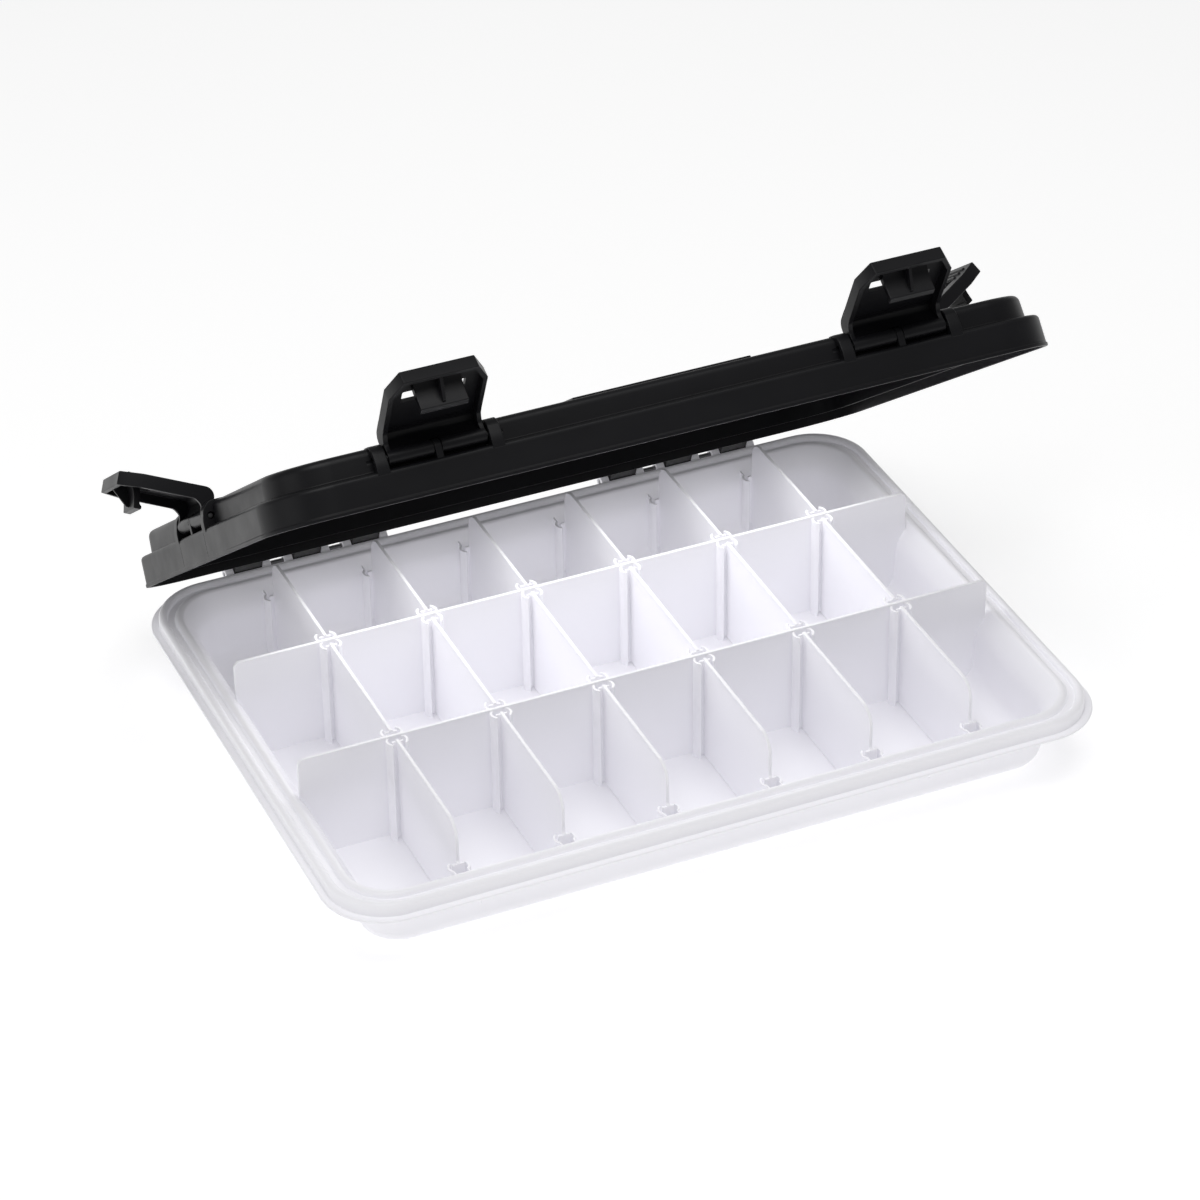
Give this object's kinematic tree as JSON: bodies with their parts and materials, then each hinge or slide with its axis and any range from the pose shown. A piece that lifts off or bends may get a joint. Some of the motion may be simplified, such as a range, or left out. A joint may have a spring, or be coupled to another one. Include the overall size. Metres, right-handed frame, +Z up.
{
  "type": "compartment tackle box",
  "caption": "Shallow utility box for fishing tackle: white compartment tray with lift-out dividers under a black pin-hinged lid with swing latches.",
  "frame": {"origin": "middle of the tray's underside, on the surface that the box stands on", "axes": "+X along the long side, -Y towards the front (latch side), +Y towards the hinge, +Z up"},
  "size_m": [0.4075, 0.2744, 0.2455],
  "materials": {
    "tray_plastic": "translucent white polypropylene, satin",
    "divider_plastic": "translucent white polypropylene, satin",
    "lid_plastic": "black polypropylene, fine satin",
    "latch_plastic": "black polypropylene, semi-gloss",
    "seal_rubber": "dull soft rubber",
    "pin_steel": "plain drawn steel wire"
  },
  "bodies": {
    "tray": {"tray": "tray_plastic", "hinge_pin_left": "pin_steel", "hinge_pin_right": "pin_steel"},
    "lid": {"lid": "lid_plastic", "gasket": "seal_rubber", "latch_pin_front_left": "pin_steel", "latch_pin_front_right": "pin_steel", "latch_pin_left": "pin_steel", "latch_pin_right": "pin_steel"},
    "latch_front_left": {"latch_front_left": "latch_plastic"},
    "latch_front_right": {"latch_front_right": "latch_plastic"},
    "latch_left": {"latch_left": "latch_plastic"},
    "latch_right": {"latch_right": "latch_plastic"},
    "divider_back_1": {"divider_back_1": "divider_plastic"},
    "divider_back_2": {"divider_back_2": "divider_plastic"},
    "divider_back_3": {"divider_back_3": "divider_plastic"},
    "divider_back_4": {"divider_back_4": "divider_plastic"},
    "divider_back_5": {"divider_back_5": "divider_plastic"},
    "divider_back_6": {"divider_back_6": "divider_plastic"},
    "divider_middle_1": {"divider_middle_1": "divider_plastic"},
    "divider_middle_2": {"divider_middle_2": "divider_plastic"},
    "divider_middle_3": {"divider_middle_3": "divider_plastic"},
    "divider_middle_4": {"divider_middle_4": "divider_plastic"},
    "divider_middle_5": {"divider_middle_5": "divider_plastic"},
    "divider_middle_6": {"divider_middle_6": "divider_plastic"},
    "divider_front_1": {"divider_front_1": "divider_plastic"},
    "divider_front_2": {"divider_front_2": "divider_plastic"},
    "divider_front_3": {"divider_front_3": "divider_plastic"},
    "divider_front_4": {"divider_front_4": "divider_plastic"},
    "divider_front_5": {"divider_front_5": "divider_plastic"},
    "divider_front_6": {"divider_front_6": "divider_plastic"}
  },
  "joints": [
    {"name": "lid_hinge", "type": "hinge", "parent": "tray", "child": "lid", "pos_m": [0, 0.139, 0.0295], "axis": [-1, 0, 0], "range_deg": [-36.8, 73.2]},
    {"name": "latch_front_left_pivot", "type": "hinge", "parent": "lid", "child": "latch_front_left", "pos_m": [-0.1032, -0.06153, 0.20449], "axis": [-1, 0, 0], "range_deg": [-120, 1]},
    {"name": "latch_front_right_pivot", "type": "hinge", "parent": "lid", "child": "latch_front_right", "pos_m": [0.1032, -0.06153, 0.20449], "axis": [-1, 0, 0], "range_deg": [-119, 2]},
    {"name": "latch_left_pivot", "type": "hinge", "parent": "lid", "child": "latch_left", "pos_m": [-0.1719, 0.04689, 0.12338], "axis": [0, 0.8007, -0.599], "range_deg": [-114.5, 6.5]},
    {"name": "latch_right_pivot", "type": "hinge", "parent": "lid", "child": "latch_right", "pos_m": [0.1719, 0.04689, 0.12338], "axis": [0, -0.8007, 0.599], "range_deg": [-120, 1]},
    {"name": "divider_back_1_lift", "type": "slide", "parent": "tray", "child": "divider_back_1", "axis": [0, 0, 1], "range_m": [0, 0.025]},
    {"name": "divider_back_2_lift", "type": "slide", "parent": "tray", "child": "divider_back_2", "axis": [0, 0, 1], "range_m": [0, 0.025]},
    {"name": "divider_back_3_lift", "type": "slide", "parent": "tray", "child": "divider_back_3", "axis": [0, 0, 1], "range_m": [0, 0.025]},
    {"name": "divider_back_4_lift", "type": "slide", "parent": "tray", "child": "divider_back_4", "axis": [0, 0, 1], "range_m": [0, 0.025]},
    {"name": "divider_back_5_lift", "type": "slide", "parent": "tray", "child": "divider_back_5", "axis": [0, 0, 1], "range_m": [0, 0.025]},
    {"name": "divider_back_6_lift", "type": "slide", "parent": "tray", "child": "divider_back_6", "axis": [0, 0, 1], "range_m": [0, 0.025]},
    {"name": "divider_middle_1_lift", "type": "slide", "parent": "tray", "child": "divider_middle_1", "axis": [0, 0, 1], "range_m": [0, 0.054]},
    {"name": "divider_middle_2_lift", "type": "slide", "parent": "tray", "child": "divider_middle_2", "axis": [0, 0, 1], "range_m": [0, 0.054]},
    {"name": "divider_middle_3_lift", "type": "slide", "parent": "tray", "child": "divider_middle_3", "axis": [0, 0, 1], "range_m": [0, 0.054]},
    {"name": "divider_middle_4_lift", "type": "slide", "parent": "tray", "child": "divider_middle_4", "axis": [0, 0, 1], "range_m": [0, 0.054]},
    {"name": "divider_middle_5_lift", "type": "slide", "parent": "tray", "child": "divider_middle_5", "axis": [0, 0, 1], "range_m": [0, 0.054]},
    {"name": "divider_middle_6_lift", "type": "slide", "parent": "tray", "child": "divider_middle_6", "axis": [0, 0, 1], "range_m": [0, 0.054]},
    {"name": "divider_front_1_lift", "type": "slide", "parent": "tray", "child": "divider_front_1", "axis": [0, 0, 1], "range_m": [0, 0.054]},
    {"name": "divider_front_2_lift", "type": "slide", "parent": "tray", "child": "divider_front_2", "axis": [0, 0, 1], "range_m": [0, 0.054]},
    {"name": "divider_front_3_lift", "type": "slide", "parent": "tray", "child": "divider_front_3", "axis": [0, 0, 1], "range_m": [0, 0.054]},
    {"name": "divider_front_4_lift", "type": "slide", "parent": "tray", "child": "divider_front_4", "axis": [0, 0, 1], "range_m": [0, 0.054]},
    {"name": "divider_front_5_lift", "type": "slide", "parent": "tray", "child": "divider_front_5", "axis": [0, 0, 1], "range_m": [0, 0.054]},
    {"name": "divider_front_6_lift", "type": "slide", "parent": "tray", "child": "divider_front_6", "axis": [0, 0, 1], "range_m": [0, 0.054]}
  ]
}
